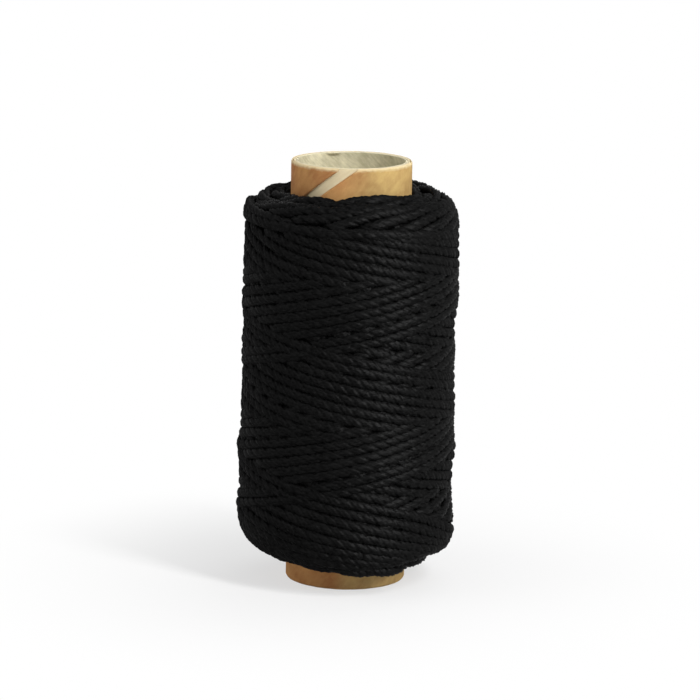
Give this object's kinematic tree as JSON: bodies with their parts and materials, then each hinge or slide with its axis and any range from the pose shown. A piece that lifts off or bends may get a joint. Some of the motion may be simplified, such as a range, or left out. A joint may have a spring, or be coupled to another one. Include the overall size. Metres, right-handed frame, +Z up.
{
  "type": "waxed thread spool",
  "caption": "Spirally wound paper tube with an open bore, wound with black waxed sewing thread in crossing layers that leave both tube ends bare.",
  "frame": {"origin": "on the tube's axis, at the foot of the tube, where the spool stands", "axes": "+Z up along the tube's axis; -Y is the side that faces the camera in the picture"},
  "size_m": [0.0258, 0.0258, 0.0506],
  "materials": {
    "liner_paper": "matte",
    "middle_paper": "matte",
    "kraft_paper": "matte",
    "buried_thread": "waxed",
    "waxed_thread": "waxed"
  },
  "bodies": {
    "root": {"tube_inner_ply": "liner_paper", "tube_middle_ply": "middle_paper", "tube_outer_ply": "kraft_paper", "thread_core": "buried_thread", "thread_winding": "waxed_thread"}
  },
  "joints": []
}
